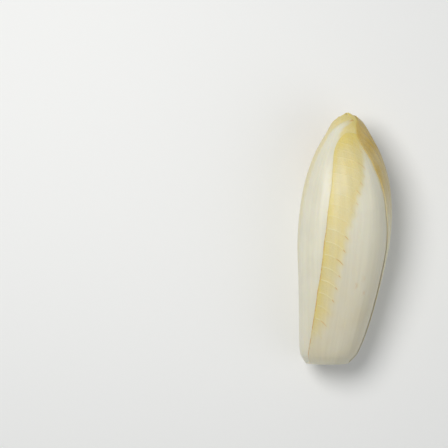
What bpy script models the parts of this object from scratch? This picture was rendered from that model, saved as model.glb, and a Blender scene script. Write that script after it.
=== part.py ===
"""Belgian endive: one whole head lying on its side, cut base towards -Y, tip towards +Y.

The head is a stack of curved leaves on a short conical core. A point of the head has three
numbers: an angle round the head (0 is up, 90 is +X), a height from 0 at the cut base to 1 at
the tip, and a depth from 0 on the outer skin to 1 on the growing line in the middle. Each leaf
starts as a flat slab and is bent into its layer: its depth is what the leaves outside it take
up there, so every leaf lies snugly under the ones that cover it and on the ones that it covers.
"""

import math
from collections import namedtuple

import bmesh
import bpy
from mathutils import Vector

MM = 0.001

# The outer skin, as radius along the head, in millimetres from the cut base to the tip.
SKIN = [
    (0.0, 12.6),
    (5.0, 17.2),
    (14.0, 20.0),
    (30.0, 22.9),
    (50.0, 25.8),
    (72.0, 28.4),
    (92.0, 28.2),
    (109.0, 25.8),
    (124.0, 20.9),
    (137.0, 14.0),
    (145.5, 8.3),
    (150.0, 0.0),
]
HEAD_LENGTH = SKIN[-1][0]
BEND = 11.8  # how far the head's middle line swings sideways from base to tip
HEIGHT_SHARE = 0.95  # height of the cross-section as a share of its width
LOBES = 4  # the outer midribs make the cross-section faintly four-sided
LOBE_SHARE = 0.018
LOBE_ANGLE = 40.0
NOSE_UP = 0.06  # the head settles on its widest part, so its tip lies a little higher
PRESSED = 2.3  # how far the underside is pressed flat by the head's own weight
PRESSED_ROUND = 0.7  # half the depth over which the pressed flat rounds into the skin
GROWING_LINE = (46.0, 130.0)  # the middle line that the leaves are wrapped round, from, to
LEAF_GAP = 0.6  # air between two leaves
FIRST_ROOT = 0.012  # the leaves start just above the core's skin
CORE_TOP = 0.84  # depth at which the core ends, under the heart bud
BUD = (48.0, 111.0)  # the furled bud's foot and tip
BUD_RADIUS = 5.9

# angle: the midrib's place round the head. lean: how far the apex swings from it.
# spread: half the leaf's width in degrees at its root, middle and top.
# apex: height of the tip. shoulder: where along the leaf its rounded end begins.
# rib, edge: thickness at the root's midrib and at the margins, in millimetres.
# fade: where the leaves below are back at full height, 1 being this leaf's own margin.
Leaf = namedtuple("Leaf", "name angle lean spread apex shoulder rib edge fade columns rows colour")

OUTER_COLUMNS, OUTER_ROWS, OUTER_FADE = 15, 16, 1.7
MIDDLE_COLUMNS, MIDDLE_ROWS = 18, 19
HEART_COLUMNS, HEART_ROWS = 13, 12
INNER_FADE = 2.0
GOLDEN_ANGLE = 137.5
MIDDLE_LEAVES = 6
HEART_LEAVES = 5

CREAM = (0.80, 0.77, 0.62)
PALE_YELLOW = (0.78, 0.71, 0.42)
CORE_CREAM = (0.74, 0.66, 0.50)


def outer_leaves():
    """The four leaves that make the head's skin, outermost first."""
    size = (OUTER_FADE, OUTER_COLUMNS, OUTER_ROWS, CREAM)
    return [
        Leaf("outer_leaf_right", 138, -14, (62, 74, 142), 0.955, 0.78, 4.6, 0.9, *size),
        Leaf("outer_leaf_front", 30, -24, (85, 58, 42), 0.826, 0.87, 4.6, 0.9, *size),
        Leaf("outer_leaf_left", -46, 20, (66, 70, 80), 0.965, 0.80, 4.6, 0.9, *size),
        Leaf("outer_leaf_back", -135, 10, (60, 76, 104), 0.945, 0.80, 4.4, 0.9, *size),
    ]


def inner_leaves():
    """The leaves under the skin, each a golden angle on from the last and smaller."""
    leaves = []
    for number in range(MIDDLE_LEAVES + HEART_LEAVES):
        share = number / (MIDDLE_LEAVES + HEART_LEAVES - 1)
        in_heart = number >= MIDDLE_LEAVES
        kind = "heart_leaf" if in_heart else "middle_leaf"
        order = number - MIDDLE_LEAVES + 1 if in_heart else number + 1
        angle = (85 + GOLDEN_ANGLE * number + 180) % 360 - 180
        # The middle leaves wrap over one another at the tip and close it.
        top_spread = 84 + 16 * share if in_heart else 172 - 22 * share
        apex = 0.95 - 0.18 * share if in_heart else 0.992 - 0.152 * share**2
        leaves.append(
            Leaf(
                name=f"{kind}_{order}",
                angle=angle,
                lean=0,
                spread=(66 + 10 * share, 84 + 22 * share, top_spread),
                apex=apex,
                shoulder=0.80,
                rib=3.8 - 1.7 * share,
                edge=0.75,
                fade=INNER_FADE,
                columns=HEART_COLUMNS if in_heart else MIDDLE_COLUMNS,
                rows=HEART_ROWS if in_heart else MIDDLE_ROWS,
                colour=PALE_YELLOW if in_heart else CREAM,
            )
        )
    return leaves


def ease(start, end, x):
    """0 before start, 1 after end, and smooth between them."""
    x = min(max((x - start) / (end - start), 0.0), 1.0)
    return x * x * (3 - 2 * x)


def skin(height):
    """(place along the head, radius) of the skin, on a smooth curve through SKIN."""
    first, last = SKIN[0], SKIN[-1]
    before = (2 * first[0] - SKIN[1][0], 2 * first[1] - SKIN[1][1])
    after = (SKIN[-2][0], 2 * last[1] - SKIN[-2][1])
    points = [before, *SKIN, after]
    at = min(max(height, 0.0), 1.0) * (len(SKIN) - 1)
    index = min(int(at), len(SKIN) - 2)
    x = at - index
    weights = (
        (-x + 2 * x**2 - x**3) / 2,
        (2 - 5 * x**2 + 3 * x**3) / 2,
        (x + 4 * x**2 - 3 * x**3) / 2,
        (-(x**2) + x**3) / 2,
    )
    near = points[index : index + 4]
    return tuple(sum(w * p[axis] for w, p in zip(weights, near)) for axis in (0, 1))


def middle_line(along):
    """The head's middle line, gently bent towards the tip."""
    sideways = BEND * (0.144 - (1 - along / HEAD_LENGTH) ** 2.6)
    return Vector((sideways, along, MIDDLE_HEIGHT + NOSE_UP * along))


def pressed_flat(z):
    """The skin's height above the table: flat at 0 where the head lies on it."""
    if z > PRESSED_ROUND:
        return z
    if z < -PRESSED_ROUND:
        return 0.0
    return (z + PRESSED_ROUND) ** 2 / (4 * PRESSED_ROUND)


def skin_point(angle, height):
    along, radius = skin(height)
    lobe = math.cos(math.radians(LOBES * (angle - LOBE_ANGLE)))
    radius *= 1 + LOBE_SHARE * lobe * ease(0.0, 0.35, height) * ease(1.0, 0.75, height)
    turn = math.radians(angle)
    outwards = Vector((math.sin(turn), 0, HEIGHT_SHARE * math.cos(turn)))
    point = middle_line(along) + radius * outwards
    point.z = pressed_flat(point.z)
    return point


def growing_point(height):
    low, high = GROWING_LINE
    along = skin(height)[0] / HEAD_LENGTH
    return middle_line(low + (high - low) * along)


def head_point(angle, height, depth):
    return skin_point(angle, height).lerp(growing_point(height), depth)


def room(height):
    """Millimetres of leaf that fit between the skin and the growing line, square to the skin."""
    step = 0.01
    y0, r0 = skin(height - step)
    y1, r1 = skin(height + step)
    y, r = skin(height)
    low, high = GROWING_LINE
    across = y - (low + (high - low) * y / HEAD_LENGTH)
    return abs((y1 - y0) * r - (r1 - r0) * across) / math.hypot(y1 - y0, r1 - r0)


def centre_of(leaf, along):
    return leaf.angle + leaf.lean * min(max(along, 0), 1) ** 6


def spread_of(leaf, along):
    root, middle, top = leaf.spread
    x = min(max(along, 0), 1)
    return root + (4 * middle - 3 * root - top) * x + 2 * (root + top - 2 * middle) * x**2


def place_in(leaf, angle, height):
    """(how far out from the midrib or the apex, 1 at the margin; how far along the leaf)."""
    along = (height - FIRST_ROOT) / (leaf.apex - FIRST_ROOT)
    turn = (angle - centre_of(leaf, along) + 180) % 360 - 180
    side = turn / spread_of(leaf, along)
    end = max((along - leaf.shoulder) / (1 - leaf.shoulder), 0)
    return math.hypot(side, end), along


def thickness(leaf, out, along):
    rib = (leaf.rib - leaf.edge) * (1 - 0.85 * min(max(along, 0), 1))
    return leaf.edge + rib * max(1 - out**2, 0) ** 1.6


def taken_up(leaf, angle, height):
    """Millimetres that a leaf and its gap take up. They fade away past its margin."""
    out, along = place_in(leaf, angle, height)
    return (thickness(leaf, out, along) + LEAF_GAP) * ease(leaf.fade, 1.03, out)


def depth_under(leaves, angle, height):
    return sum(taken_up(leaf, angle, height) for leaf in leaves) / room(height)


def leaf_point(leaf, outside, across, up, side):
    """A point of the flat slab (across -1 to 1, up 0 to 1, side 0 outer or 1 inner) in its layer."""
    straight = 0.72  # share of the slab's rows below the rounded end
    end = max((up - straight) / (1 - straight), 0)
    out_side = across * math.sqrt(1 - end**2 / 2)
    out_end = end * math.sqrt(1 - across**2 / 2)
    along = leaf.shoulder * min(up / straight, 1) + (1 - leaf.shoulder) * out_end
    height = FIRST_ROOT + along * (leaf.apex - FIRST_ROOT)
    angle = centre_of(leaf, along) + out_side * spread_of(leaf, along)
    depth = depth_under(outside, angle, height)
    if side:
        depth += thickness(leaf, math.hypot(out_side, out_end), along) / room(height)
    return head_point(angle, height, depth)


def material(name, colour, roughness):
    made = bpy.data.materials.new(name)
    made.use_nodes = True
    shader = made.node_tree.nodes["Principled BSDF"]
    shader.inputs["Base Color"].default_value = (*colour, 1)
    shader.inputs["Roughness"].default_value = roughness
    shader.inputs["Metallic"].default_value = 0
    return made


def add_object(name, bm, colour, roughness, collection):
    """The bmesh, in millimetres of the head's own frame, as an object in metres."""
    bm.normal_update()
    bmesh.ops.recalc_face_normals(bm, faces=bm.faces)
    bmesh.ops.scale(bm, vec=(MM, MM, MM), verts=bm.verts)
    mesh = bpy.data.meshes.new(name)
    bm.to_mesh(mesh)
    bm.free()
    mesh.shade_smooth()
    mesh.set_sharp_from_angle(angle=math.radians(50))
    mesh.materials.append(material(name, colour, roughness))
    made = bpy.data.objects.new(name, mesh)
    collection.objects.link(made)
    return made


def make_leaf(leaf, outside, collection):
    """A flat slab, one quad thick, bent into the layer under the leaves outside it."""
    bm = bmesh.new()
    bmesh.ops.create_grid(bm, x_segments=leaf.columns, y_segments=leaf.rows, size=1)
    grown = bmesh.ops.extrude_face_region(bm, geom=bm.faces[:], use_keep_orig=True)
    inner = [part for part in grown["geom"] if isinstance(part, bmesh.types.BMVert)]
    bmesh.ops.translate(bm, vec=(0, 0, 1), verts=inner)
    for vertex in bm.verts:
        across, up, side = vertex.co
        vertex.co = leaf_point(leaf, outside, across, (up + 1) / 2, round(side))
    return add_object(leaf.name, bm, leaf.colour, 0.4, collection)


def make_core(collection):
    """The conical stem inside the base. Its foot is the cut face, its side carries the leaves."""
    rings, segments = 6, 28
    bm = bmesh.new()
    bmesh.ops.create_cone(
        bm, cap_ends=True, segments=segments, radius1=1, radius2=1, depth=1
    )
    sides = [edge for edge in bm.edges if abs(edge.verts[0].co.z - edge.verts[1].co.z) > 0.5]
    bmesh.ops.subdivide_edges(bm, edges=sides, cuts=rings)
    for vertex in bm.verts:
        angle = math.degrees(math.atan2(vertex.co.x, vertex.co.y))
        depth = CORE_TOP * (vertex.co.z + 0.5)
        vertex.co = head_point(angle, 0.0, depth)
    return add_object("core", bm, CORE_CREAM, 0.6, collection)


def make_bud(collection):
    """The youngest leaves, still furled into one bud on the growing line above the core."""
    low, high = BUD
    bm = bmesh.new()
    bmesh.ops.create_uvsphere(bm, u_segments=14, v_segments=12, radius=1)
    for vertex in bm.verts:
        turn = math.atan2(vertex.co.x, vertex.co.y)
        out = math.hypot(vertex.co.x, vertex.co.y)
        share = (vertex.co.z + 1) / 2
        outwards = Vector((math.sin(turn), 0, HEIGHT_SHARE * math.cos(turn)))
        radius = BUD_RADIUS * out * (0.75 + 0.25 * math.cos(2 * math.pi * (share - 0.5)))
        vertex.co = middle_line(low + (high - low) * share) + radius * outwards
    return add_object("heart_bud", bm, PALE_YELLOW, 0.45, collection)


def centre_over_origin(objects):
    """Hangs everything on an empty, so that the origin is the middle of the footprint."""
    corners = [vertex.co for made in objects for vertex in made.data.vertices]
    low = [min(corner[axis] for corner in corners) for axis in range(3)]
    high = [max(corner[axis] for corner in corners) for axis in range(3)]
    holder = bpy.data.objects.new("endive", None)
    holder.location = (-(low[0] + high[0]) / 2, -(low[1] + high[1]) / 2, -low[2])
    objects[0].users_collection[0].objects.link(holder)
    for made in objects:
        made.parent = holder


def build():
    for old in list(bpy.data.objects):
        bpy.data.objects.remove(old)
    collection = bpy.data.collections.new("belgian_endive")
    bpy.context.scene.collection.children.link(collection)
    leaves = outer_leaves() + inner_leaves()
    made = [make_core(collection)]
    for number, leaf in enumerate(leaves):
        made.append(make_leaf(leaf, leaves[:number], collection))
    made.append(make_bud(collection))
    centre_over_origin(made)


MIDDLE_HEIGHT = max(HEIGHT_SHARE * radius - NOSE_UP * along for along, radius in SKIN) - PRESSED
build()
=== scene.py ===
import math
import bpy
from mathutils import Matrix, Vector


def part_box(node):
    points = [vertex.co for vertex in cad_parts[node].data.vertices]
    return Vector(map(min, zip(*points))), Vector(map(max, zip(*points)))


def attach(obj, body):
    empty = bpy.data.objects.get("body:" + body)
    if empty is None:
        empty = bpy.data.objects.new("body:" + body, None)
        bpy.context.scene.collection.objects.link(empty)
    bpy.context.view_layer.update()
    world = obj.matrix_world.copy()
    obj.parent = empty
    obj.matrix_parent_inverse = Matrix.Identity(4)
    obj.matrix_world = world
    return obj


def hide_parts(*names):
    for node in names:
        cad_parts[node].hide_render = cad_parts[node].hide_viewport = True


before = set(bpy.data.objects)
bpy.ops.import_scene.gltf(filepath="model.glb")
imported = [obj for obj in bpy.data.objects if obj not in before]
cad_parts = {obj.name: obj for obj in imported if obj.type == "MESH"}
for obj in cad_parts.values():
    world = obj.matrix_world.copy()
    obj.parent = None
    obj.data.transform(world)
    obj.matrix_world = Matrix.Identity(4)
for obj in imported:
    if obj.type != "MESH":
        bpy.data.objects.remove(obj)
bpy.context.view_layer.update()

from types import SimpleNamespace

import bpy
import numpy as np
from mathutils import Vector

print("frame loaded with", len(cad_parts), "parts")

# The whole head. Lengths are millimetres. Angles go round the head, 0 up and 90 towards +X.
# A height is 0 at the cut base and 1 at the tip, with even steps from one point of the outline
# to the next. A depth is 0 on the outside of the head and 1 on the growing line that the leaves
# are wrapped round. Unless a note says otherwise, a pair of numbers is where something begins
# and where it is complete.
head = {
    "outline": [  # distance from the cut base, radius
        (0.0, 12.6), (5.0, 17.2), (14.0, 20.0), (30.0, 22.9), (50.0, 25.8), (72.0, 28.4),
        (92.0, 28.2), (109.0, 25.8), (124.0, 20.9), (137.0, 14.0), (145.5, 8.3), (150.0, 0.0),
    ],
    "bend": 11.8,  # sideways swing of the middle line
    "bendPower": 2.6,  # most of the swing comes low down
    "noseUp": 0.06,  # rise of the middle line towards the tip
    "heightShare": 0.95,  # thickness of the head as a share of its width
    "lobes": 4,
    "lobeShare": 0.018,
    "lobeAngle": 40.0,
    "lobeStart": (0.0, 0.35),  # heights over which the lobes come up
    "lobeEnd": (0.75, 1.0),  # and over which they fade
    "pressedRound": 0.7,  # rounding where the underside is pressed flat
    "clearOfTable": (0.05, 3.0),  # above the table
    "growingLine": (46.0, 130.0),  # its two ends, along the middle line
    "firstRoot": 0.012,  # height of the leaf roots
    "reliefRoom": 0.30,  # kept free under the outline for ribs and veins
    "hollows": 0.35,  # soft unevenness all over
    "hollowStart": (0.0, 0.06),
}

headLength = head["outline"][-1][0]
coreLow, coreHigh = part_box("core")
cutMiddle = (Vector(coreLow) + Vector(coreHigh)) * 500  # metres to millimetres, halved
cutMiddle.y = coreLow[1] * 1000


def easeStep(low, high, x):
    x = np.clip((x - low) / (high - low), 0.0, 1.0)
    return x * x * (3.0 - 2.0 * x)


def outlineAt(height):
    # a smooth curve through the outline's stations, as distance and radius
    stations = np.array(head["outline"])
    before = 2 * stations[0] - stations[1]
    after = np.array([stations[-2][0], 2 * stations[-1][1] - stations[-2][1]])
    points = np.vstack([before, stations, after])
    at = np.clip(height, 0.0, 1.0) * (len(stations) - 1)
    index = np.minimum(at.astype(int), len(stations) - 2)
    x = at - index
    weights = [
        (-x + 2 * x**2 - x**3) / 2,
        (2 - 5 * x**2 + 3 * x**3) / 2,
        (x + 4 * x**2 - 3 * x**3) / 2,
        (-(x**2) + x**3) / 2,
    ]
    along = sum(weight * points[index + step, 0] for step, weight in enumerate(weights))
    radius = sum(weight * points[index + step, 1] for step, weight in enumerate(weights))
    return along, radius


def middleLine(along):
    x = cutMiddle.x + head["bend"] * (1 - (1 - along / headLength) ** head["bendPower"])
    return np.stack([x, cutMiddle.y + along, cutMiddle.z + head["noseUp"] * along], axis=-1)


def skinPoint(angle, height):
    along, radius = outlineAt(height)
    lobe = np.cos(np.radians(head["lobes"] * (angle - head["lobeAngle"])))
    shown = easeStep(*head["lobeStart"], height) * (1 - easeStep(*head["lobeEnd"], height))
    radius = radius * (1 + head["lobeShare"] * lobe * shown)
    turn = np.radians(angle)
    point = middleLine(along)
    point[..., 0] += radius * np.sin(turn)
    point[..., 2] += radius * head["heightShare"] * np.cos(turn)
    z, soft = point[..., 2], head["pressedRound"]
    point[..., 2] = np.where(z > soft, z, np.where(z < -soft, 0.0, (z + soft) ** 2 / (4 * soft)))
    return point


def growingAlong(along):
    # how far up the growing line a distance along the head is mapped
    low, high = head["growingLine"]
    return low + (high - low) * along / headLength


def growingPoint(height):
    return middleLine(growingAlong(outlineAt(height)[0]))


def headPoint(angle, height, depth):
    outside = skinPoint(angle, height)
    return outside + (growingPoint(height) - outside) * depth[..., None]


def roomAt(height):
    # the distance, square to the skin, from the skin to the growing line
    y0, r0 = outlineAt(height - 0.01)
    y1, r1 = outlineAt(height + 0.01)
    y, r = outlineAt(height)
    return np.abs((y1 - y0) * r - (r1 - r0) * (y - growingAlong(y))) / np.hypot(y1 - y0, r1 - r0)


def offTheTable(angle, height):
    # 0 where the head is pressed on the table, 1 where it is well clear of it
    return easeStep(*head["clearOfTable"], skinPoint(angle, height)[..., 2])


def softHollows(angle, height):
    # slow swells all over the head, from 0 to 1, in waves that never line up
    turn = np.radians(angle)
    wave = np.sin(3 * turn + 5.1 * height + 0.7) * np.sin(9.0 * height + 2 * turn + 1.9)
    wave = wave + 0.6 * np.sin(5 * turn - 11.0 * height + 2.2) * np.sin(17.0 * height - turn)
    return (wave / 1.6 + 1) / 2


def firstDepth(angle, height):
    # how far under the outline the outermost leaf lies
    kept = head["reliefRoom"] + head["hollows"] * softHollows(angle, height)
    return kept * offTheTable(angle, height) * easeStep(*head["hollowStart"], height)


# How leaves lie over one another. For a leaf, along runs from 0 at its root to 1 at its apex
# and out from 0 at its middle to 1 at its rim.
layers = {
    "rim": 0.42,  # thickness at the very edge
    "blade": 0.80,  # thickness of the thin part
    "bladeThins": (0.90, 1.0),
    "ribThins": 0.85,  # share of the rib's thickness that is lost by the apex
    "ribPower": 1.6,  # how soon the rib's thickness falls away sideways
    "gap": 0.50,  # air between two leaves
    "rimGap": 0.10,  # a rim lies almost on the leaf below
    "gapCloses": (0.8, 1.0),
    "pastRim": (1.0, 1.30),  # where the leaf below comes back to full height
}


def centreOf(leaf, along):
    return leaf["angle"] + leaf["lean"] * np.clip(along, 0, 1) ** 6


def spreadOf(leaf, along):
    # half the leaf's width in degrees, with a wavy margin
    root, middle, top = leaf["spread"]
    x = np.clip(along, 0, 1)
    spread = root + (4 * middle - 3 * root - top) * x + 2 * (root + top - 2 * middle) * x**2
    phase = math.radians(leaf["angle"])
    wave = np.sin(21 * x + phase) + 0.6 * np.sin(47 * x + 3 * phase) + 0.4 * np.sin(83 * x)
    return spread * (1 + leaf["waviness"] * wave * easeStep(0.1, 0.5, x))


def placeIn(leaf, angle, height):
    # out and along of a leaf at a place of the head
    root = head["firstRoot"]
    along = (height - root) / (leaf["apex"] - root)
    turn = (angle - centreOf(leaf, along) + 180) % 360 - 180
    side = turn / spreadOf(leaf, along)
    end = np.maximum((along - leaf["shoulder"]) / (1 - leaf["shoulder"]), 0)
    return np.hypot(side, end), along


def thicknessOf(leaf, out, along):
    thinning = 1 - easeStep(*layers["bladeThins"], out)
    blade = layers["rim"] + (layers["blade"] - layers["rim"]) * thinning
    rib = (leaf["rib"] - layers["blade"]) * (1 - layers["ribThins"] * np.clip(along, 0, 1))
    return blade + rib * np.maximum(1 - out**2, 0) ** layers["ribPower"]


def takenUp(leaf, angle, height):
    # the depth that a leaf and the air under it use
    out, along = placeIn(leaf, angle, height)
    gap = layers["rimGap"] + (layers["gap"] - layers["rimGap"]) * (1 - easeStep(*layers["gapCloses"], out))
    return (thicknessOf(leaf, out, along) + gap) * (1 - easeStep(*layers["pastRim"], out))


def depthUnder(leaves, angle, height):
    covered = np.zeros_like(angle)
    for leaf in leaves:
        covered = covered + takenUp(leaf, angle, height)
    return covered


# The flat slab that every leaf is bent from.
slab = {
    "straight": 0.72,  # share below its rounded end
    "edge": 0.999,  # points further out than this make the rim
    "rimCuts": 2,
    "rimRound": 0.22,  # how far the middle of a rim stands out past its two faces
    "leastRadius": 3.0,  # keeps angles sane at the tip, where the radius ends
    "smoothAngle": 70.0,
}


def readPoints(mesh):
    points = np.empty(len(mesh.vertices) * 3)
    mesh.vertices.foreach_get("co", points)
    return points.reshape(-1, 3)


def writePoints(mesh, points):
    mesh.vertices.foreach_set("co", (points * 0.001).ravel())
    mesh.update()


def selectUprights(mesh):
    # from edit mode: the edges that run from the bottom of a slab or cylinder to its top
    bpy.ops.mesh.select_mode(type="EDGE")
    bpy.ops.mesh.select_all(action="DESELECT")
    bpy.ops.object.mode_set(mode="OBJECT")
    ends = np.empty(len(mesh.edges) * 2, dtype=np.int32)
    mesh.edges.foreach_get("vertices", ends)
    heights = readPoints(mesh)[ends.reshape(-1, 2), 2]
    mesh.edges.foreach_set("select", np.abs(heights[:, 0] - heights[:, 1]) > 0.5)
    bpy.ops.object.mode_set(mode="EDIT")


def addSlab(name, columns, rows):
    # x across the leaf, y along it, z 0 outside and 1 inside
    bpy.ops.object.select_all(action="DESELECT")
    bpy.ops.mesh.primitive_grid_add(
        x_subdivisions=columns, y_subdivisions=rows, size=2.0, location=(0, 0, 0)
    )
    piece = bpy.context.object
    piece.name = name
    piece.data.name = name
    bpy.ops.object.mode_set(mode="EDIT")
    bpy.ops.mesh.select_all(action="SELECT")
    bpy.ops.mesh.extrude_region_move(TRANSFORM_OT_translate={"value": (0, 0, 1)})
    selectUprights(piece.data)
    bpy.ops.mesh.subdivide(number_cuts=slab["rimCuts"])  # room to round the rim
    bpy.ops.object.mode_set(mode="OBJECT")
    return piece


def turnOutwards(piece):
    bpy.ops.object.select_all(action="DESELECT")
    piece.select_set(True)
    bpy.context.view_layer.objects.active = piece
    bpy.ops.object.mode_set(mode="EDIT")
    bpy.ops.mesh.select_all(action="SELECT")
    bpy.ops.mesh.normals_make_consistent(inside=False)
    bpy.ops.object.mode_set(mode="OBJECT")


# The rib, and what stands out of a leaf's outer face.
surface = {
    "ribLeans": (0.84, 1.0),
    "leastRib": 0.3,  # half width of its thin end
    "ribRises": (0.0, 0.5),
    "ribFoot": 0.4,  # share of the rib's bulge at the very foot
    "narrowRib": (0.0, 4.0),  # half widths below which it stands out less
    "ribLineHeight": 0.045,
    "ribLineStart": (0.02, 0.15),
    "ribLineEnd": (0.75, 0.98),
    "foldStart": (0.25, 0.6),
    "foldEdge": (0.75, 0.97),
    "foldFromRib": (0.0, 4.0),
    "rimLift": 0.16,
    "rimLiftOut": (0.86, 0.99),
    "rimLiftAlong": (0.1, 0.4),
    "veinSpacing": 7.4,
    "veinClimb": 8.0,  # how far a side vein climbs while it crosses the blade
    "veinReach": 9.5,  # the width over which it does most of its climbing
    "veinSteepness": 1.2,
    "veinOffset": 0.43,  # the veins right of the rib start between those left of it
    "veinCrowding": 0.9,  # they stand closer towards the tip
    "crowdingStart": 80.0,  # distance from the cut base
    "crowdingLength": 30.0,
    "veinWidth": 0.42,
    "veinHeight": 0.11,
    "lowestVein": 0.55,  # share of that height
    "veinStart": (0.16, 0.36),
    "veinThins": (0.45, 0.75),
    "veinThinsBy": 0.4,
    "veinEdge": (0.94, 1.0),
    "ribToBlade": (-0.8, 1.0),  # either side of the line where the rib becomes blade
    "cover": (0.0, 0.6),  # depth of cover over which the relief is pressed flat
    "covered": 0.25,  # share of the relief that is left under another leaf
}


def ribMiddle(leaf, along):
    # how far the rib runs to the right of the leaf's own middle
    return leaf["ribShift"] + leaf["ribLean"] * easeStep(*surface["ribLeans"], along)


def ribReach(leaf, along):
    # half the width of the rib: a broad foot, a waist where it narrows, and a thin end
    wide, low, high, foot = leaf["ribReach"]
    narrowing = 1 - easeStep(low, high, along)
    return wide * narrowing + foot * (1 - np.clip(along, 0, 1)) ** 2 + surface["leastRib"]


def leafPlaces(leaf, flat):
    # where each point of the flat slab belongs on the leaf and on the head
    across, up, inner = flat[:, 0], (flat[:, 1] + 1) / 2, flat[:, 2]
    straight, shoulder = slab["straight"], leaf["shoulder"]
    end = np.clip((up - straight) / (1 - straight), 0, 1)
    outSide = across * np.sqrt(1 - end**2 / 2)
    outEnd = end * np.sqrt(1 - across**2 / 2)
    along = shoulder * np.minimum(up / straight, 1) + (1 - shoulder) * outEnd
    height = head["firstRoot"] + along * (leaf["apex"] - head["firstRoot"])
    angle = centreOf(leaf, along) + outSide * spreadOf(leaf, along)
    distance, radius = outlineAt(height)
    sideways = np.maximum(radius, slab["leastRadius"])
    bulge = slab["rimRound"] * np.sqrt(np.maximum(4 * inner * (1 - inner), 0))
    onSide = np.sign(outSide) * (np.abs(across) > slab["edge"])
    angle = angle + np.degrees(bulge * onSide / sideways)
    height = height + bulge / headLength * (up > slab["edge"])
    fromMiddle = np.radians(angle - centreOf(leaf, along)) * radius - ribMiddle(leaf, along)
    reach = ribReach(leaf, along)
    return SimpleNamespace(
        along=along,
        out=np.hypot(outSide, outEnd),
        inner=inner,  # 0 on the outer face, 1 on the inner face
        angle=angle,
        height=height,
        distance=distance,  # from the cut base
        fromMiddle=fromMiddle,  # across from the middle of the rib
        turned=np.degrees(fromMiddle / sideways),  # the same as an angle round the head
        reach=reach,
        fromRib=np.abs(fromMiddle) - reach,  # less than 0 on the rib
        side=np.sign(fromMiddle),
    )


def leftOrRight(at, pair):
    return np.where(at.side > 0, pair[1], pair[0])


def sideVeins(leaf, at):
    # a side vein leaves the rib steeply and flattens out as it crosses the blade
    climbed = 1 - np.exp(-surface["veinSteepness"] * np.maximum(at.fromRib, 0) / surface["veinReach"])
    rooted = at.distance - surface["veinClimb"] * climbed
    crowding, over = surface["veinCrowding"], surface["crowdingLength"]
    upper = np.maximum((rooted - surface["crowdingStart"]) / over, 0)
    phase = rooted / surface["veinSpacing"] + crowding * upper**2
    phase = phase + np.where(at.side > 0, surface["veinOffset"], 0.0)
    number = np.round(phase)
    chance = np.sin(number * 12.9 + at.side * 3.1 + leaf["angle"]) * 43.7
    chance = chance - np.floor(chance)  # each vein's own share, from 0 to 1
    away = (phase - number) / (1 / surface["veinSpacing"] + 2 * crowding * upper / over)
    shown = easeStep(*surface["ribToBlade"], at.fromRib) * (1 - easeStep(*surface["veinEdge"], at.out))
    shown = shown * easeStep(*surface["veinStart"], at.along) * leftOrRight(at, leaf["veins"])
    shown = shown * (1 - surface["veinThinsBy"] * easeStep(*surface["veinThins"], at.along))
    lowest = surface["lowestVein"]
    height = np.exp(-((away / surface["veinWidth"]) ** 2)) * (lowest + (1 - lowest) * chance)
    return SimpleNamespace(phase=phase, chance=chance, shown=shown, height=height * shown)


def ribLines(leaf, at, across):
    # fine uneven lines that run along the rib
    count, along = leaf["ribLines"] * math.pi, at.along
    lines = 0.6 * np.cos(count * across + 1.4 * np.sin(2.6 * across + 5 * along))
    lines = lines + 0.4 * np.cos(1.9 * count * across + 2.0 + 2.0 * np.sin(7 * along + 3 * across))
    lines = lines * np.sqrt(np.maximum(1 - across**2, 0)) * (0.6 + 0.4 * np.sin(11 * along + 6 * across))
    return lines * easeStep(*surface["ribLineStart"], along) * (1 - easeStep(*surface["ribLineEnd"], along))


def softFolds(leaf, at):
    # low ridges that run along the blade
    fold = np.sin(at.fromMiddle / leaf["foldWidth"] * math.pi + 2.5 * np.sin(3 * at.along) + 0.8)
    fold = fold * (1 - easeStep(*surface["foldEdge"], at.out))
    return fold * easeStep(*surface["foldFromRib"], at.fromRib) * easeStep(*surface["foldStart"], at.along)


def reliefOf(leaf, at, veins):
    # how far the outer face stands out of the smooth leaf
    across = np.clip(at.fromMiddle / at.reach, -1, 1)
    foot = surface["ribFoot"]
    ribShare = foot + (1 - foot) * easeStep(*surface["ribRises"], at.along)
    ribShare = ribShare * easeStep(*surface["narrowRib"], at.reach)
    rim = easeStep(*surface["rimLiftOut"], at.out) * easeStep(*surface["rimLiftAlong"], at.along)
    relief = leaf["ribBulge"] * np.cos(across * math.pi / 2) ** 2 * ribShare
    relief = relief + leaf["foldHeight"] * softFolds(leaf, at)
    relief = relief + surface["ribLineHeight"] * ribLines(leaf, at, across)
    return relief + surface["veinHeight"] * veins.height + surface["rimLift"] * rim


# Where a leaf's colours begin and end, and the masks that carry them to the tissue material.
marks = {
    "leastSoft": 0.8,  # width over which rib turns to blade at the apex
    "ragged": 0.11,  # how unevenly it does
    "sideBlend": (-2.5, 2.5),  # across the rib, where the left side's colours pass to the right's
    "cap": (0.90, 0.98),  # the apex is yellow on both sides of the rib
    "rimYellow": (0.8, 1.0),
    "rustyRim": (0.972, 0.997),  # out towards the rim
    "rustyRimEnd": (0.50, 0.72),  # along the leaf
    "spotLength": 0.8,  # spots are a little longer than wide
    "veinRust": (1.5, 5.5),  # shortest brown stretch of a vein, and how much longer some are
    "veinRustFades": (0.5, 1.0),
    "footStart": 5.0,  # distance along the head where the painted shade at the foot begins to fade
}
tissueMasks = {  # sockets of the tissue group and the attributes that feed them
    "Rib": "ribMask",
    "Yellow": "yellowMask",
    "Vein": "veinMask",
    "Vein Rust": "veinRustMask",
    "Rust": "rustMask",
    "Foot": "footMask",
}


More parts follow.
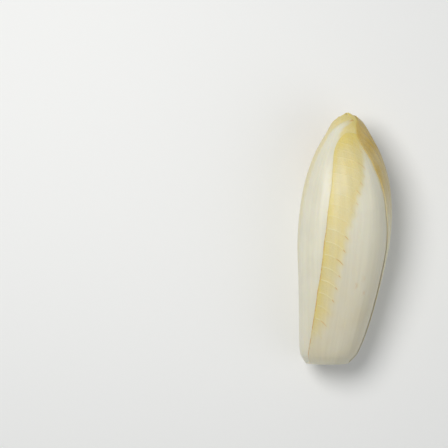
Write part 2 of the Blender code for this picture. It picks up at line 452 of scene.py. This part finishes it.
def writeTissue(mesh, across, distance, veinPhase=0.0, **masks):
    # all that the tissue reads from a piece; a mask that isn't given is 0
    everywhere = np.ones(len(mesh.vertices))
    numbers = {name: np.clip(masks.get(name, 0.0), 0, 1) for name in tissueMasks.values()}
    numbers["veinPhase"] = veinPhase
    for name, values in numbers.items():
        layer = mesh.attributes.new(name, "FLOAT", "POINT")
        layer.data.foreach_set("value", (everywhere * values).astype(np.float32))
    # where the lengthwise streaks run: across them in degrees, along them in millimetres
    layer = mesh.attributes.new("grainPlace", "FLOAT_VECTOR", "POINT")
    place = np.stack([across, distance, 0 * everywhere], axis=-1)
    layer.data.foreach_set("vector", place.astype(np.float32).ravel())


def whiteOf(leaf, at, veins):
    # the white rib, which runs out raggedly into the blade between the side veins
    soft = marks["leastSoft"] + leaf["ribSoft"] * (1 - at.along)
    ragged = np.cos(2 * math.pi * veins.phase)
    ragged = ragged + np.sin(0.23 * at.distance + 2 * np.sin(0.07 * at.distance))
    white = 1 - easeStep(-0.5 * soft, soft, at.fromRib + marks["ragged"] * soft * ragged)
    return white * (1 - easeStep(*leaf["ribEnd"], at.along))


def yellowOf(leaf, at, white):
    left, right = leaf["yellowSides"]
    sides = left + (right - left) * easeStep(*marks["sideBlend"], at.fromMiddle)
    sides = sides + (1 - sides) * easeStep(*marks["cap"], at.along)
    depth = leaf["yellowDepth"] + (1 - leaf["yellowDepth"]) * easeStep(*leaf["deepFrom"], at.along)
    rim = leaf["rimYellow"] * easeStep(*marks["rimYellow"], at.out)
    return ((1 - white) * sides * depth + rim) * easeStep(*leaf["yellowFrom"], at.along)


def rustOf(leaf, at):
    rust = leaf["rustyRim"] * easeStep(*marks["rustyRim"], at.out)
    rust = rust * (1 - easeStep(*marks["rustyRimEnd"], at.along))
    for across, distance, size, strength in leaf["spots"]:
        lengthwise = (at.distance - distance) * marks["spotLength"]
        rust = rust + strength * np.exp(-((np.hypot(at.fromMiddle - across, lengthwise) / size) ** 2))
    return rust


def veinRustOf(leaf, at, veins):
    # the brown ends of the side veins, each of its own length
    shortest, longer = marks["veinRust"]
    share = at.fromRib / (shortest + longer * veins.chance**2)
    rust = veins.shown * (1 - easeStep(*marks["veinRustFades"], share))
    return rust * leftOrRight(at, leaf["rustyVeins"])


def wrapLeaf(piece, leaf, outside):
    # bends the slab into its layer of the head, raises its ribs and veins and marks its colours
    at = leafPlaces(leaf, readPoints(piece.data))
    veins = sideVeins(leaf, at)
    covered = depthUnder(outside, at.angle, at.height)
    kept = 1 - (1 - surface["covered"]) * easeStep(*surface["cover"], covered)
    relief = reliefOf(leaf, at, veins) * offTheTable(at.angle, at.height) * kept
    depth = covered + firstDepth(at.angle, at.height) - (1 - at.inner) * relief
    depth = depth + at.inner * thicknessOf(leaf, at.out, at.along)
    writePoints(piece.data, headPoint(at.angle, at.height, depth / roomAt(at.height)))
    white = whiteOf(leaf, at, veins)
    writeTissue(
        piece.data,
        across=at.turned,
        distance=at.distance,
        veinPhase=veins.phase,
        ribMask=white,
        yellowMask=yellowOf(leaf, at, white),
        veinMask=veins.shown,
        veinRustMask=veinRustOf(leaf, at, veins),
        rustMask=rustOf(leaf, at),
        # on a leaf the foot mask is painted shade towards its base, with a slight warm tone
        footMask=leaf["footShade"] * (1 - easeStep(marks["footStart"], leaf["footReach"], at.distance)),
    )


# The tissue that all pieces share. A pattern is its scale, its detail and how it is stretched.
# Scales count in metres, but those of streaks and bands in degrees and millimetres. A change
# is a range of values and what that range becomes.
flesh = {
    "clouds": (75, 3),
    "grain": (2100, 2),
    "blotches": (330, 3),
    "streaks": (0.26, 3, (1.0, 0.10, 1.0)),
    "bands": (0.085, 2, (1.0, 0.14, 1.0)),
    "streakShade": ((0.30, 0.70), (0.965, 1.015)),
    "cloudShade": ((0.30, 0.70), (0.965, 1.02)),
    "bandShade": ((0.30, 0.70), (0.97, 1.02)),
    "yellowClouds": ((0.30, 0.62), (0.72, 1.0)),
    "yellowStreaks": ((0.25, 0.75), (0.88, 1.0)),
    "footClouds": ((0.30, 0.70), (0.5, 1.0)),
    "rustBlotches": ((0.40, 0.60), (0.15, 1.0)),
    "tinyVeinScale": 760,  # the net of tiny veins in the blade
    "tinyVeinStretch": (1.0, 0.62, 1.0),
    "tinyVeinLine": ((0.0, 0.22), (1.0, 0.0)),
    "tinyVeinColour": 0.10,
    "wander": (900, 2),  # makes the net crooked
    "wanderLength": 0.0013,  # metres
    "veinFray": ((0.30, 0.70), (-0.006, 0.006)),
    "veinLine": ((0.012, 0.062), (1.0, 0.0)),
    "veinStrength": ((0.0, 1.0), (0.45, 1.0)),
    "rustyVeinChance": ((0.35, 0.50), (0.0, 1.0)),
    "veinColour": 0.5,
    "cloudRoughness": ((0.30, 0.70), (0.36, 0.46)),
    "bladeRoughness": 0.07,
    "rustRoughness": 0.25,
    "tinyVeinHeight": 0.30,
    "streakHeight": ((0.0, 1.0), (0.35, 0.75)),  # on the blade and on the rib
    "grainHeight": 0.22,
    "veinHeight": 0.9,
}
tissueColours = ("Rib", "Blade", "Yellow", "Vein", "Rust", "Foot")


def paint(red, green, blue):
    # a screen colour, 0 to 255, as the linear colour of the shader
    shares = [value / 255 for value in (red, green, blue)]
    linear = [share / 12.92 if share <= 0.04045 else ((share + 0.055) / 1.055) ** 2.4 for share in shares]
    return linear + [1.0]


def join(tree, socket, value):
    # a value is a number or colour, or the output of another node
    if isinstance(value, bpy.types.NodeSocket):
        tree.links.new(value, socket)
    else:
        socket.default_value = value


def addNode(tree, kind, inputs, **settings):
    node = tree.nodes.new(kind)
    for name, value in settings.items():
        setattr(node, name, value)
    for socket, value in inputs.items():
        join(tree, node.inputs[socket], value)
    return node.outputs


def addNoise(tree, place, scale, detail, stretch=(1.0, 1.0, 1.0)):
    placed = addNode(tree, "ShaderNodeMapping", {"Vector": place, "Scale": stretch})["Vector"]
    return addNode(tree, "ShaderNodeTexNoise", {"Vector": placed, "Scale": scale, "Detail": detail})


def remap(tree, value, found, wanted, kind="LINEAR"):
    inputs = {"Value": value, "From Min": found[0], "From Max": found[1]}
    inputs.update({"To Min": wanted[0], "To Max": wanted[1]})
    return addNode(tree, "ShaderNodeMapRange", inputs, interpolation_type=kind)["Result"]


def maths(tree, operation, first, second=0.0):
    return addNode(tree, "ShaderNodeMath", {0: first, 1: second}, operation=operation)["Value"]


def times(tree, product, *factors):
    for factor in factors:
        product = maths(tree, "MULTIPLY", product, factor)
    return product


def blend(tree, share, first, second, kind="MIX"):
    inputs = {0: share, 6: first, 7: second}
    return addNode(tree, "ShaderNodeMix", inputs, data_type="RGBA", blend_type=kind)[2]


def addTinyVeins(tree, place):
    # a net: 1 on its lines, 0 inside its cells
    crooked = addNoise(tree, place, *flesh["wander"])["Color"]
    inputs = {0: crooked, 1: (flesh["wanderLength"],) * 3, 2: place}
    moved = addNode(tree, "ShaderNodeVectorMath", inputs, operation="MULTIPLY_ADD")["Vector"]
    inputs = {"Vector": moved, "Scale": flesh["tinyVeinStretch"]}
    placed = addNode(tree, "ShaderNodeMapping", inputs)["Vector"]
    inputs = {"Vector": placed, "Scale": flesh["tinyVeinScale"]}
    cells = addNode(tree, "ShaderNodeTexVoronoi", inputs, feature="DISTANCE_TO_EDGE")
    return remap(tree, cells["Distance"], *flesh["tinyVeinLine"])


def addSideVeins(tree, given, grain):
    # a line for every whole number of the phase, each a little different
    number = maths(tree, "ROUND", given["Vein Phase"])
    away = maths(tree, "ABSOLUTE", maths(tree, "SUBTRACT", given["Vein Phase"], number))
    away = maths(tree, "ADD", away, remap(tree, grain, *flesh["veinFray"]))
    line = remap(tree, away, *flesh["veinLine"], kind="SMOOTHSTEP")
    chance = addNode(tree, "ShaderNodeTexWhiteNoise", {"W": number}, noise_dimensions="1D")["Value"]
    vein = times(tree, line, given["Vein"], remap(tree, chance, *flesh["veinStrength"]))
    rust = times(tree, line, given["Vein Rust"], remap(tree, chance, *flesh["rustyVeinChance"]))
    return vein, rust


def makeTissueGroup():
    # colour, roughness and fine relief of leaf tissue from its masks
    group = bpy.data.node_groups.new("leafTissue", "ShaderNodeTree")
    for name in tissueColours:
        group.interface.new_socket(name + " Colour", in_out="INPUT", socket_type="NodeSocketColor")
    for name in (*tissueMasks, "Vein Phase"):
        group.interface.new_socket(name, in_out="INPUT", socket_type="NodeSocketFloat")
    group.interface.new_socket("Grain Place", in_out="INPUT", socket_type="NodeSocketVector")
    group.interface.new_socket("Colour", in_out="OUTPUT", socket_type="NodeSocketColor")
    group.interface.new_socket("Roughness", in_out="OUTPUT", socket_type="NodeSocketFloat")
    group.interface.new_socket("Height", in_out="OUTPUT", socket_type="NodeSocketFloat")
    given = group.nodes.new("NodeGroupInput").outputs
    place = group.nodes.new("ShaderNodeTexCoord").outputs["Object"]

    clouds = addNoise(group, place, *flesh["clouds"])["Fac"]
    grain = addNoise(group, place, *flesh["grain"])["Fac"]
    blotches = addNoise(group, place, *flesh["blotches"])["Fac"]
    streaks = addNoise(group, given["Grain Place"], *flesh["streaks"])["Fac"]
    bands = addNoise(group, given["Grain Place"], *flesh["bands"])["Fac"]
    tinyVeins = addTinyVeins(group, place)
    vein, veinRust = addSideVeins(group, given, grain)

    blade = maths(group, "SUBTRACT", 1.0, given["Rib"])
    yellow = times(group, given["Yellow"], remap(group, clouds, *flesh["yellowClouds"]))
    yellow = times(group, yellow, remap(group, streaks, *flesh["yellowStreaks"]))
    # on a leaf the foot is painted shade towards the base with a slight warm tone; on the core it is the
    # fresh cut
    foot = times(group, given["Foot"], remap(group, clouds, *flesh["footClouds"]))
    rust = times(group, given["Rust"], remap(group, blotches, *flesh["rustBlotches"]))
    rust = maths(group, "MAXIMUM", rust, veinRust)
    netted = times(group, tinyVeins, blade, flesh["tinyVeinColour"])

    colour = blend(group, blade, given["Rib Colour"], given["Blade Colour"])
    colour = blend(group, foot, colour, given["Foot Colour"])
    colour = blend(group, yellow, colour, given["Yellow Colour"])
    for pattern, change in ((streaks, "streakShade"), (clouds, "cloudShade"), (bands, "bandShade")):
        colour = blend(group, 1.0, colour, remap(group, pattern, *flesh[change]), "MULTIPLY")
    colour = blend(group, netted, colour, given["Vein Colour"])
    colour = blend(group, times(group, vein, flesh["veinColour"]), colour, given["Vein Colour"])
    colour = blend(group, rust, colour, given["Rust Colour"])

    rough = remap(group, clouds, *flesh["cloudRoughness"])
    rough = maths(group, "ADD", rough, times(group, blade, flesh["bladeRoughness"]))
    rough = maths(group, "ADD", rough, times(group, rust, flesh["rustRoughness"]))

    height = times(group, tinyVeins, blade, flesh["tinyVeinHeight"])
    streakHeight = times(group, streaks, remap(group, given["Rib"], *flesh["streakHeight"]))
    height = maths(group, "ADD", height, streakHeight)
    height = maths(group, "ADD", height, times(group, grain, flesh["grainHeight"]))
    height = maths(group, "ADD", height, times(group, vein, flesh["veinHeight"]))
    addNode(group, "NodeGroupOutput", {"Colour": colour, "Roughness": rough, "Height": height})
    return group


tissue = makeTissueGroup()


def makeTissueMaterial(name, look):
    material = bpy.data.materials.new(name)
    material.use_nodes = True
    tree = material.node_tree
    given = {part + " Colour": paint(*look[part.lower() + "Colour"]) for part in tissueColours}
    for socket, mask in (*tissueMasks.items(), ("Vein Phase", "veinPhase")):
        given[socket] = addNode(tree, "ShaderNodeAttribute", {}, attribute_name=mask)["Fac"]
    grain = addNode(tree, "ShaderNodeAttribute", {}, attribute_name="grainPlace")
    given["Grain Place"] = grain["Vector"]
    made = addNode(tree, "ShaderNodeGroup", given, node_tree=tissue)
    bump = {"Strength": look["reliefStrength"], "Distance": look["reliefDepth"], "Height": made["Height"]}
    finish = {
        "Base Color": made["Colour"],
        "Roughness": made["Roughness"],
        "Normal": addNode(tree, "ShaderNodeBump", bump)["Normal"],
        "IOR": look["ior"],
        "Coat Weight": look["wax"],
        "Coat Roughness": look["waxRoughness"],
        "Subsurface Weight": look["translucence"],
        "Subsurface Radius": look["bleed"],
        "Subsurface Scale": look["bleedLength"],
    }
    for socket, value in finish.items():
        join(tree, tree.nodes["Principled BSDF"].inputs[socket], value)
    return material


outerLook = {
    "ribColour": (231, 227, 206),
    "bladeColour": (230, 224, 194),
    "yellowColour": (226, 203, 110),
    "veinColour": (240, 232, 190),
    "rustColour": (204, 146, 60),
    # painted shade for the lower part of a leaf, with a slight warm tone
    "footColour": (210, 199, 170),
    "reliefStrength": 0.35,
    "reliefDepth": 0.0003,
    "ior": 1.42,
    "wax": 0.18,
    "waxRoughness": 0.30,
    "translucence": 0.22,
    "bleed": (1.0, 0.75, 0.35),  # how far red, green and blue light spread inside
    "bleedLength": 0.0022,
}
# a darker copy for the right leaf: partly its own ochre blade, partly painted shade for the side turned
# away from the light
shadedLook = dict(outerLook, yellowColour=(198, 165, 72))
innerLook = dict(
    outerLook,
    bladeColour=(234, 222, 172),
    yellowColour=(232, 209, 110),
    rustColour=(196, 148, 80),
)

outerMaterial = makeTissueMaterial("paleOuterLeaf", outerLook)
shadedMaterial = makeTissueMaterial("ochreOuterLeafWithPaintedShade", shadedLook)
innerMaterial = makeTissueMaterial("yellowInnerLeaf", innerLook)
print("leaf tissue mixed")

# What outer leaves have in common. Each leaf adds the angle of its middle, how far it leans
# by its apex, its half widths in degrees at root, middle and top, the height of its apex, and
# the share of it that lies below its rounded end.
outerLeaf = {
    "grid": (140, 288),  # faces across and along
    "rib": 4.6,  # thickness at the foot of the rib
    "waviness": 0.007,
    "ribShift": 0.0,
    "ribLean": 0.0,
    "ribReach": (9.0, 0.5, 1.15, 17.0),  # half width, where the waist begins and ends, extra at the foot
    "ribEnd": (0.86, 0.99),
    "ribSoft": 5.0,
    "ribBulge": 0.45,
    "ribLines": 9,
    "veins": (1.0, 1.0),  # strength left and right of the rib
    "foldWidth": 3.4,
    "foldHeight": 0.05,
    "yellowFrom": (0.3, 0.6),
    "yellowSides": (1.0, 1.0),  # strength left and right of the rib
    "yellowDepth": 0.55,  # strength of the yellow where it begins
    "deepFrom": (0.78, 0.96),  # where it comes to full strength
    "rimYellow": 0.3,
    "rustyVeins": (0.0, 0.0),  # strength left and right of the rib
    "rustyRim": 0.4,
    "footShade": 0.3,  # how strongly the lower part is darkened with painted shade and a slight warm tone
    "footReach": 80.0,
    "spots": [],  # across from the rib's middle, along the head, size, strength
    "material": outerMaterial,
}

rightLeaf = dict(
    outerLeaf,
    angle=138,
    lean=-14,
    spread=(62, 74, 142),
    apex=0.955,
    shoulder=0.78,
    veins=(0.12, 0.12),
    foldWidth=2.8,
    foldHeight=0.28,
    yellowFrom=(0.42, 0.82),
    yellowDepth=1.0,
    rustyRim=0.15,
    footShade=0.35,
    # the right leaf's ochre blade, darkened with painted shade
    material=shadedMaterial,
)
frontLeaf = dict(
    outerLeaf,
    angle=30,
    lean=-24,
    spread=(85, 58, 42),
    apex=0.826,
    shoulder=0.87,
    ribShift=3.0,
    ribReach=(15.0, 0.50, 0.92, 8.7),
    ribEnd=(0.82, 0.93),
    ribSoft=9.0,
    veins=(1.0, 0.0),
    yellowFrom=(0.15, 0.36),
    yellowSides=(1.0, 0.0),
    yellowDepth=0.64,
    rustyVeins=(0.7, 0.0),
    rustyRim=0.8,
    footShade=0.8,
    footReach=105.0,
    spots=[(-4.0, 51.5, 1.1, 0.4), (-7.7, 47, 1.1, 0.5), (-1.5, 43, 0.9, 0.3)],
)
leftLeaf = dict(
    outerLeaf,
    angle=-46,
    lean=20,
    spread=(66, 70, 80),
    apex=0.965,
    shoulder=0.80,
    ribLean=9.5,
    ribReach=(7.2, 0.45, 1.15, 17.0),
    ribSoft=8.0,
    veins=(0.5, 0.5),
    yellowFrom=(0.40, 0.85),
    yellowSides=(0.8, 1.0),
    footShade=0.12,
    spots=[
        (10.2, 102, 0.6, 0.35),
        (10.5, 97, 0.5, 0.3),
        (10.0, 90, 0.6, 0.35),
        (9.0, 106, 0.5, 0.3),
        (9.7, 79, 0.6, 0.3),
        (0.6, 146.2, 0.9, 1.6),
    ],
)
backLeaf = dict(
    outerLeaf,
    angle=-135,
    lean=10,
    spread=(60, 76, 104),
    apex=0.945,
    shoulder=0.80,
    rib=4.4,
    yellowFrom=(0.45, 0.8),
    rustyVeins=(0.4, 0.4),
)

# Inner leaves follow one another round the head by the golden angle. The middle ones wrap
# over one another at the tip and close it, the heart ones are shorter. Pairs up to the rib's
# are the values of the outermost leaf and of the innermost.
innerLeaves = {
    "middleCount": 6,
    "heartCount": 5,
    "turn": 137.5,
    "firstAngle": 85.0,
    "rootSpread": (66, 76),
    "middleSpread": (84, 106),
    "middleLeafTop": (172, 150),  # half width at the top
    "heartLeafTop": (84, 100),
    "middleLeafApex": (0.999, 0.84),
    "heartLeafApex": (0.95, 0.77),
    "rib": (3.8, 2.1),
    "middleLeafGrid": (64, 120),  # faces across and along
    "heartLeafGrid": (44, 84),
    "shared": {  # where all of them differ from an outer leaf
        "lean": 0,
        "shoulder": 0.80,
        "waviness": 0.004,
        "yellowFrom": (0.35, 0.75),
        "rimYellow": 0.6,
        "rustyRim": 0.25,
        "material": innerMaterial,
    },
}


def innerLeaf(number):
    # the name and settings of an inner leaf, counted from the outermost
    middleCount, heartCount = innerLeaves["middleCount"], innerLeaves["heartCount"]
    share = number / (middleCount + heartCount - 1)
    inHeart = number >= middleCount
    kind = "heartLeaf" if inHeart else "middleLeaf"
    shorter = share if inHeart else share**2  # middle leaves shorten slowly at first

    def between(key, share):
        first, last = innerLeaves[key]
        return first + (last - first) * share

    settings = {
        **outerLeaf,
        **innerLeaves["shared"],
        "grid": innerLeaves[kind + "Grid"],
        "angle": (innerLeaves["firstAngle"] + innerLeaves["turn"] * number + 180) % 360 - 180,
        "spread": [between(key, share) for key in ("rootSpread", "middleSpread", kind + "Top")],
        "apex": between(kind + "Apex", shorter),
        "rib": between("rib", share),
    }
    if inHeart:
        return "heart_leaf_" + str(number + 1 - middleCount), settings
    return "middle_leaf_" + str(number + 1), settings


leaves = [
    ("outer_leaf_right", rightLeaf),
    ("outer_leaf_front", frontLeaf),
    ("outer_leaf_left", leftLeaf),
    ("outer_leaf_back", backLeaf),
]
leaves += [innerLeaf(number) for number in range(innerLeaves["middleCount"] + innerLeaves["heartCount"])]

outside = []
for name, leaf in leaves:
    piece = addSlab(name + "_piece", *leaf["grid"])
    wrapLeaf(piece, leaf, outside)
    piece.data.materials.append(leaf["material"])
    turnOutwards(piece)
    bpy.ops.object.shade_smooth_by_angle(angle=math.radians(slab["smoothAngle"]))
    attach(piece, "root")
    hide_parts(name)
    outside.append(leaf)
    print("leaf", name, "wrapped with", len(piece.data.polygons), "faces")


# The core: a cone of firm white flesh, cut square at the base. Reaches on the cut are shares
# of its radius.
core = {
    "sides": 120,
    "rows": 25,
    "rings": 15,
    "ringsReach": 0.92,  # share of the radius that the rings of faces fill
    "height": 0.84,
    "lip": 0.0117,  # the trimmed stem shows up to this height, then the leaf roots begin
    "lipShare": 0.03,
    "dish": 0.35,  # the knife leaves the face a little hollow
    "dishUneven": 0.25,
    "ripple": 0.05,  # height of the knife's marks
    "rippleCount": 14,
    "rippleEdge": (0.0, 0.2),
    "vesselRing": 0.64,  # a firmer ring of vessels stands up from the cut
    "vesselRingWidth": 0.07,
    "vesselRingHeight": 0.14,
    "vesselRingEdge": (0.0, 0.15),
    "vesselColour": 0.75,
    "bundles": 34,  # dots of the ring of vessels
    "betweenBundles": 0.25,
    "traceRing": 0.84,  # vessels on their way out to the leaves
    "traceRingWidth": 0.05,
    "traceColour": 0.8,
    "traces": 11,
    "brownRim": (0.90, 1.0),
    "brownUp": (0.0, 0.06),
    "brownColour": 0.5,
    "grainAcross": 60,
    "grainUp": 40,
    "wornRim": 0.00035,  # metres
    "wornAngle": 50.0,
    "smoothAngle": 60.0,
}
coreLook = dict(
    outerLook,
    ribColour=(232, 226, 202),
    yellowColour=(206, 178, 128),
    rustColour=(188, 138, 84),
    footColour=(241, 232, 202),
    reliefStrength=0.45,
    ior=1.5,
    wax=0.0,
    waxRoughness=0.03,
    translucence=0.15,
    bleed=(1.0, 0.75, 0.4),
    bleedLength=0.002,
)


def addCylinder():
    # a closed cylinder with rows of faces up its side and rings of faces on its lower end
    bpy.ops.object.select_all(action="DESELECT")
    bpy.ops.mesh.primitive_cylinder_add(vertices=core["sides"], radius=1, depth=1)
    piece = bpy.context.object
    piece.name = "core_piece"
    bpy.ops.object.mode_set(mode="EDIT")
    selectUprights(piece.data)
    bpy.ops.mesh.subdivide(number_cuts=core["rows"] - 1)
    bpy.ops.mesh.select_mode(type="FACE")
    bpy.ops.mesh.select_all(action="DESELECT")
    bpy.ops.object.mode_set(mode="OBJECT")
    for face in piece.data.polygons:
        face.select = face.normal.z < -0.9  # the lower end
    bpy.ops.object.mode_set(mode="EDIT")
    for ring in range(core["rings"]):
        bpy.ops.mesh.inset(thickness=core["ringsReach"] / core["rings"])
    bpy.ops.mesh.poke()
    bpy.ops.object.mode_set(mode="OBJECT")
    return piece


def shapeCore(at):
    # a foot that follows the head's outline, then a cone that ends on the growing line
    zero = np.zeros_like(at.up)
    share = at.up**2  # closer rows near the cut
    rise = np.clip(share / core["lipShare"], 0, 1)
    inwards = np.maximum(share - core["lipShare"], 0) / (1 - core["lipShare"])
    sides = headPoint(at.angle, core["lip"] * rise, core["height"] * inwards)
    cutCentre = middleLine(zero)
    onFace = cutCentre + (headPoint(at.angle, zero, zero) - cutCentre) * at.reach[:, None]
    tip = cutCentre + (growingPoint(zero) - cutCentre) * core["height"]
    onTip = tip + (sides - tip) * np.clip(at.reach, 0, 1)[:, None]
    placed = np.where(at.onCut[:, None], onFace, sides)
    placed = np.where(at.onTop[:, None], onTip, placed)
    inside = 1 - at.reach
    dish = core["dish"] * (1 - at.reach**2) * (1 + core["dishUneven"] * np.sin(2 * at.turn + 1))
    dish = dish + core["vesselRingHeight"] * (1 - at.ring) * easeStep(*core["vesselRingEdge"], inside)
    ripple = np.sin(core["rippleCount"] * at.reach * np.cos(at.turn) + 2)
    dish = dish + core["ripple"] * ripple * easeStep(*core["rippleEdge"], inside)
    placed[:, 1] += np.where(at.onCut, np.maximum(dish, 0), 0)
    return placed


def markCore(mesh, flat, at):
    # rib, yellow, rust and foot stand for white flesh, vessels, browned rim and fresh cut
    turn = at.turn
    bundles = 0.5 + 0.5 * np.cos(core["bundles"] * turn + 3 * np.sin(2 * turn + 1) + 2 * np.sin(5 * turn))
    bundles = core["betweenBundles"] + (1 - core["betweenBundles"]) * bundles
    traces = np.exp(-(((at.reach - core["traceRing"]) / core["traceRingWidth"]) ** 2))
    traces = traces * (0.5 + 0.5 * np.cos(core["traces"] * turn + 2 * np.sin(3 * turn))) ** 3
    vessels = np.where(at.onCut, at.ring * bundles + core["traceColour"] * traces, 0.0)
    nearCut = 1 - easeStep(*core["brownUp"], at.up)
    browned = np.where(at.onCut, easeStep(*core["brownRim"], at.reach), nearCut)
    writeTissue(
        mesh,
        across=core["grainAcross"] * flat[:, 0],
        distance=core["grainAcross"] * flat[:, 1] + core["grainUp"] * at.up,
        ribMask=1.0,
        yellowMask=core["vesselColour"] * np.clip(vessels, 0, 1),
        rustMask=core["brownColour"] * browned,
        footMask=np.where(at.onCut, 1.0, nearCut),
    )


def makeCore():
    piece = addCylinder()
    flat = readPoints(piece.data)
    up, reach = flat[:, 2] + 0.5, np.hypot(flat[:, 0], flat[:, 1])
    turn = np.arctan2(flat[:, 0], flat[:, 1])
    at = SimpleNamespace(
        up=up,
        reach=reach,
        turn=turn,
        angle=np.degrees(turn),
        onCut=up < 1e-6,
        onTop=up > 1 - 1e-6,
        ring=np.exp(-(((reach - core["vesselRing"]) / core["vesselRingWidth"]) ** 2)),
    )
    writePoints(piece.data, shapeCore(at))
    markCore(piece.data, flat, at)
    turnOutwards(piece)
    bevel = piece.modifiers.new("worn cut rim", "BEVEL")
    bevel.width = core["wornRim"]
    bevel.segments = 3
    bevel.limit_method = "ANGLE"
    bevel.angle_limit = math.radians(core["wornAngle"])
    bpy.ops.object.modifier_apply(modifier=bevel.name)
    bpy.ops.object.shade_smooth_by_angle(angle=math.radians(core["smoothAngle"]))
    return piece


piece = makeCore()
piece.data.materials.append(makeTissueMaterial("cutCoreFlesh", coreLook))
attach(piece, "root")
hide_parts("core")
print("core made")


# The bud in the middle of the head: tiny leaves still wound tightly together.
bud = {
    "sides": 72,
    "rings": 96,
    "along": (48.0, 111.0),  # from and to, along the middle line
    "radius": 5.7,
    "endShare": 0.84,  # the ends are slimmer than the middle
    "furrows": 3,
    "furrowDepth": 0.55,
    "furrowPower": 4,
    "windings": 1.4,
}


def makeBud():
    bpy.ops.object.select_all(action="DESELECT")
    bpy.ops.mesh.primitive_uv_sphere_add(segments=bud["sides"], ring_count=bud["rings"], radius=1)
    piece = bpy.context.object
    piece.name = "heart_bud_piece"
    flat = readPoints(piece.data)
    share = (np.clip(flat[:, 2], -1, 1) + 1) / 2
    middle = np.sin(share * math.pi)  # 1 half way up, 0 at both ends
    turn = np.arctan2(flat[:, 0], flat[:, 1])
    low, high = bud["along"]
    along = low + (high - low) * share
    wound = bud["furrows"] * turn + 2 * math.pi * bud["windings"] * share
    furrow = bud["furrowDepth"] / bud["radius"] * (0.5 + 0.5 * np.cos(wound)) ** bud["furrowPower"]
    radius = bud["radius"] * np.hypot(flat[:, 0], flat[:, 1])
    radius = radius * (bud["endShare"] + (1 - bud["endShare"]) * middle) * (1 - furrow * middle)
    point = middleLine(along)
    point[:, 0] += radius * np.sin(turn)
    point[:, 2] += radius * np.cos(turn)
    writePoints(piece.data, point)
    writeTissue(piece.data, across=90 * np.sin(turn), distance=along, ribMask=1 - share, yellowMask=share)
    turnOutwards(piece)
    bpy.ops.object.shade_smooth()
    return piece


piece = makeBud()
piece.data.materials.append(innerMaterial)
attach(piece, "root")
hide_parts("heart_bud")
print("bud made")


# Floor, light and camera, in metres.
studio = {
    "floorColour": (246, 246, 245),
    "floorSize": 4.0,
    "floorRoughness": 0.85,
    "floorShine": 0.2,
    "worldColour": (232, 236, 240),
    "worldStrength": 0.34,
    "lampTarget": (0.0, 0.0, 0.02),
    "keyPlace": (-0.30, 0.22, 0.72),
    "keySize": 0.42,
    "keyPower": 3.9,
    "keyColour": (255, 254, 251),
    "fillPlace": (0.55, -0.25, 0.55),
    "fillSize": 0.7,
    "fillPower": 1.0,
    "fillColour": (255, 254, 252),
    "cameraPlace": (-0.0720, 0.0091, 1.326),
    "lens": 175.0,
    "nearest": 0.05,
}


def makeFloor():
    bpy.ops.object.select_all(action="DESELECT")
    bpy.ops.mesh.primitive_plane_add(size=studio["floorSize"], location=(0, 0, 0))
    floor = bpy.context.object
    floor.name = "floor"
    material = bpy.data.materials.new("paleFloor")
    material.use_nodes = True
    shader = material.node_tree.nodes["Principled BSDF"]
    shader.inputs["Base Color"].default_value = paint(*studio["floorColour"])
    shader.inputs["Roughness"].default_value = studio["floorRoughness"]
    shader.inputs["Specular IOR Level"].default_value = studio["floorShine"]
    floor.data.materials.append(material)
    return floor


def addLamp(kind):
    lampData = bpy.data.lights.new(kind + "Lamp", "AREA")
    lampData.color = paint(*studio[kind + "Colour"])[:3]
    lampData.shape = "DISK"
    lampData.size = studio[kind + "Size"]
    lampData.energy = studio[kind + "Power"]
    lamp = bpy.data.objects.new(kind + "Lamp", lampData)
    bpy.context.scene.collection.objects.link(lamp)
    lamp.location = studio[kind + "Place"]
    aim = Vector(studio["lampTarget"]) - Vector(studio[kind + "Place"])
    lamp.rotation_euler = aim.to_track_quat("-Z", "Y").to_euler()


floor = makeFloor()
addLamp("key")
addLamp("fill")

world = bpy.data.worlds.new("softRoom")
bpy.context.scene.world = world
world.use_nodes = True
background = world.node_tree.nodes["Background"]
background.inputs["Color"].default_value = paint(*studio["worldColour"])
background.inputs["Strength"].default_value = studio["worldStrength"]

cameraData = bpy.data.cameras.new("camera")
cameraData.lens = studio["lens"]
cameraData.sensor_width = 36.0
cameraData.clip_start = studio["nearest"]
camera = bpy.data.objects.new("camera", cameraData)
bpy.context.scene.collection.objects.link(camera)
camera.location = studio["cameraPlace"]  # unturned, so it looks straight down
bpy.context.scene.camera = camera
bpy.context.scene.view_settings.view_transform = "Standard"
print("floor, lamps and camera placed")
